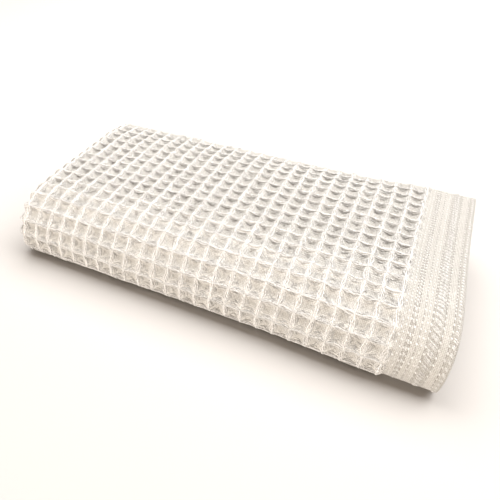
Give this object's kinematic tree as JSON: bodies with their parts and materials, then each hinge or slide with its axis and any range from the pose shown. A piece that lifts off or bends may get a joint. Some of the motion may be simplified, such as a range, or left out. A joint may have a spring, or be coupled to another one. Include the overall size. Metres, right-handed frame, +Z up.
{
  "type": "folded waffle bath towel",
  "caption": "Cream cotton bath towel in a large waffle weave, with flat woven borders, folded in quarters both ways and lying flat.",
  "frame": {"origin": "under the middle of the folded towel, on the surface that it lies on", "axes": "+X along the folded length, towards the hemmed ends; +Y across the folded width, away from the round front fold; +Z up"},
  "size_m": [0.3564, 0.195, 0.0576],
  "materials": {
    "waffle_cotton": "matte woven cotton, warm cream"
  },
  "bodies": {
    "root": {"towel_cloth": "waffle_cotton"}
  },
  "joints": []
}
